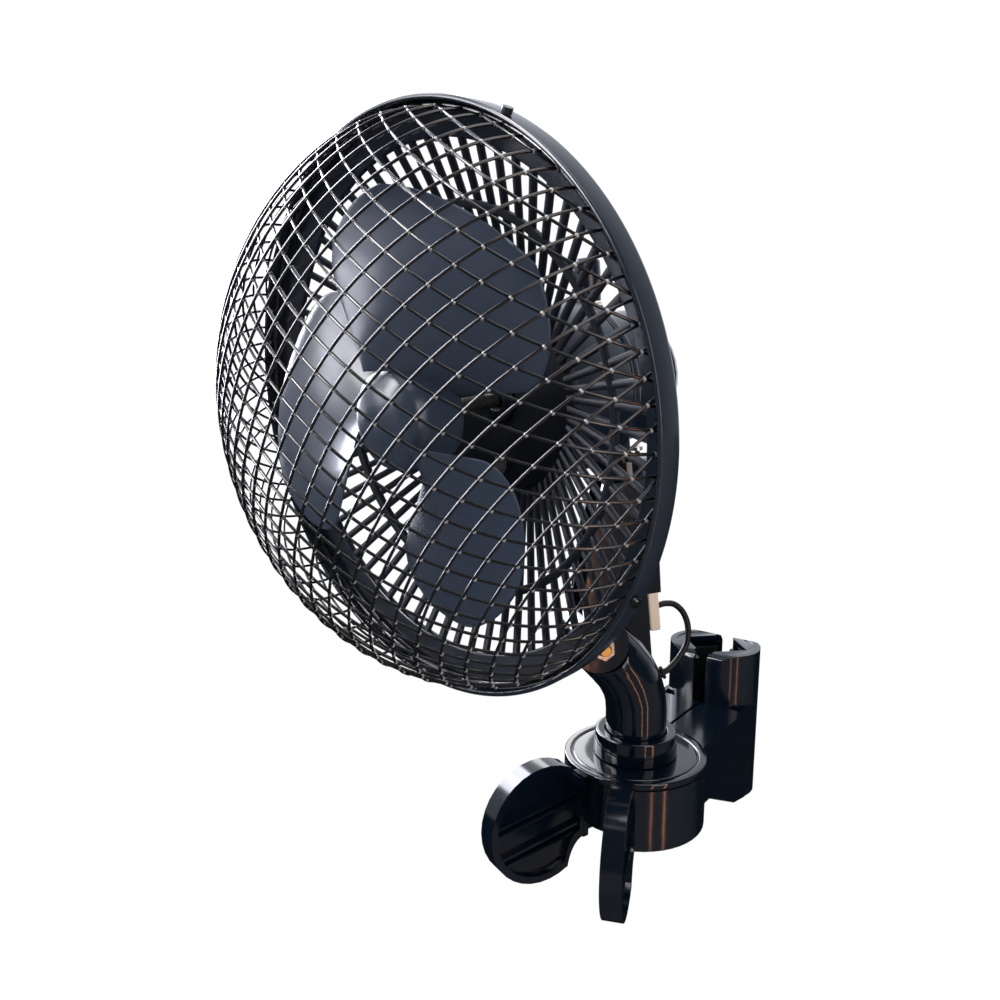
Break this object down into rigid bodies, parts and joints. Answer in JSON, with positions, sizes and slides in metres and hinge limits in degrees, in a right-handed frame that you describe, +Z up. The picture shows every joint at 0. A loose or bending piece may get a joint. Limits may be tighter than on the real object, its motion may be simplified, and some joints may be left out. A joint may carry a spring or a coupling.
{
  "type": "clip fan",
  "caption": "Oscillating caged fan on a tilting, swivelling neck above a sprung clip whose squeeze paddles open padded jaws for a round pole.",
  "frame": {"origin": "middle of the pole that the jaws grip, halfway up the jaws", "axes": "+Z up along the pole; the squeeze paddles point along -Y; the fan head faces mostly along -Y"},
  "size_m": [0.2004, 0.2775, 0.3114],
  "materials": {
    "gloss_black": "gloss",
    "satin_black": "satin",
    "painted_wire": "gloss",
    "blade": "gloss",
    "steel": "bright zinc plate",
    "laminations": "bare laminations",
    "brass": "yellow passivated",
    "copper": "enamelled copper wire",
    "rubber": "matt",
    "nylon": "natural moulded"
  },
  "bodies": {
    "clip_core": {"hub_cap": "gloss_black", "pivot_post": "satin_black", "pivot_washer": "steel", "pivot_screw": "steel", "torsion_spring": "steel"},
    "clip_right": {"clip_lever_right": "gloss_black", "jaw_liner_right": "rubber"},
    "clip_left": {"clip_lever_left": "gloss_black", "jaw_liner_left": "rubber"},
    "neck": {"neck_elbow": "gloss_black", "neck_collar": "gloss_black", "cord_grommet": "rubber", "lead_loop": "rubber"},
    "bracket": {"tilt_bracket": "gloss_black", "tilt_bolt": "brass", "tilt_nut": "steel", "tilt_washer_near": "steel", "tilt_washer_far": "steel", "cord_block": "nylon", "swing_pin": "steel", "swing_link": "steel"},
    "head": {"gear_case": "satin_black", "knob_ring": "nylon", "motor_front_housing": "satin_black", "motor_rear_cover": "satin_black", "front_bearing": "brass", "rear_bearing": "brass", "stator": "laminations", "coil_rear": "copper", "coil_front": "copper", "rear_guard": "gloss_black", "guard_screw_1": "steel", "guard_screw_2": "steel", "guard_screw_3": "steel", "front_grille": "painted_wire", "guard_catch_1": "steel", "guard_catch_2": "steel", "guard_catch_3": "steel", "guard_catch_4": "steel"},
    "spinner": {"rotor": "laminations", "motor_shaft": "steel", "worm": "brass", "fan_blade": "blade"},
    "swing_drive": {"drive_gear": "nylon", "crank_disc": "nylon"},
    "knob": {"swing_knob": "gloss_black"}
  },
  "joints": [
    {"name": "clip_squeeze", "type": "hinge", "parent": "clip_core", "child": "clip_right", "pos_m": [0, -0.086, 0.011], "axis": [0, 0, -1], "range_deg": [0, 14], "stiffness_Nm_per_rad": 2, "springref_deg": -34.38, "deforming": ["torsion_spring"]},
    {"name": "clip_squeeze_left", "type": "hinge", "parent": "clip_core", "child": "clip_left", "pos_m": [0, -0.086, 0.011], "axis": [0, 0, 1], "range_deg": [0, 14]},
    {"name": "neck_swivel", "type": "hinge", "parent": "clip_core", "child": "neck", "pos_m": [0, -0.086, 0.011], "axis": [0, 0, 1], "range_deg": [-45.5, 134.5]},
    {"name": "head_tilt", "type": "hinge", "parent": "neck", "child": "bracket", "pos_m": [-0.01424, -0.10049, 0.06657], "axis": [-0.7133, 0.7009, 0], "range_deg": [-13.87, 46.13], "deforming": ["lead_loop"]},
    {"name": "head_swing", "type": "hinge", "parent": "bracket", "child": "head", "pos_m": [-0.01001, -0.09619, 0.18054], "axis": [-0.0748, -0.0762, 0.9943], "range_deg": [-80.2, 9.8]},
    {"name": "blade_spin", "type": "hinge", "parent": "head", "child": "spinner", "pos_m": [-0.01001, -0.09619, 0.18054], "axis": [-0.1583, -0.9835, -0.0873], "continuous": true},
    {"name": "swing_drive_spin", "type": "hinge", "parent": "head", "child": "swing_drive", "pos_m": [-0.02316, -0.08996, 0.18002], "axis": [-0.0748, -0.0762, 0.9943], "continuous": true},
    {"name": "knob_pull", "type": "slide", "parent": "head", "child": "knob", "axis": [-0.0748, -0.0762, 0.9943], "range_m": [0, 0.006]}
  ],
  "couplings": [
    {"joint": "clip_squeeze_left", "follows": "clip_squeeze", "ratio": 1},
    {"joint": "swing_drive_spin", "follows": "blade_spin", "ratio": -0.0625}
  ]
}
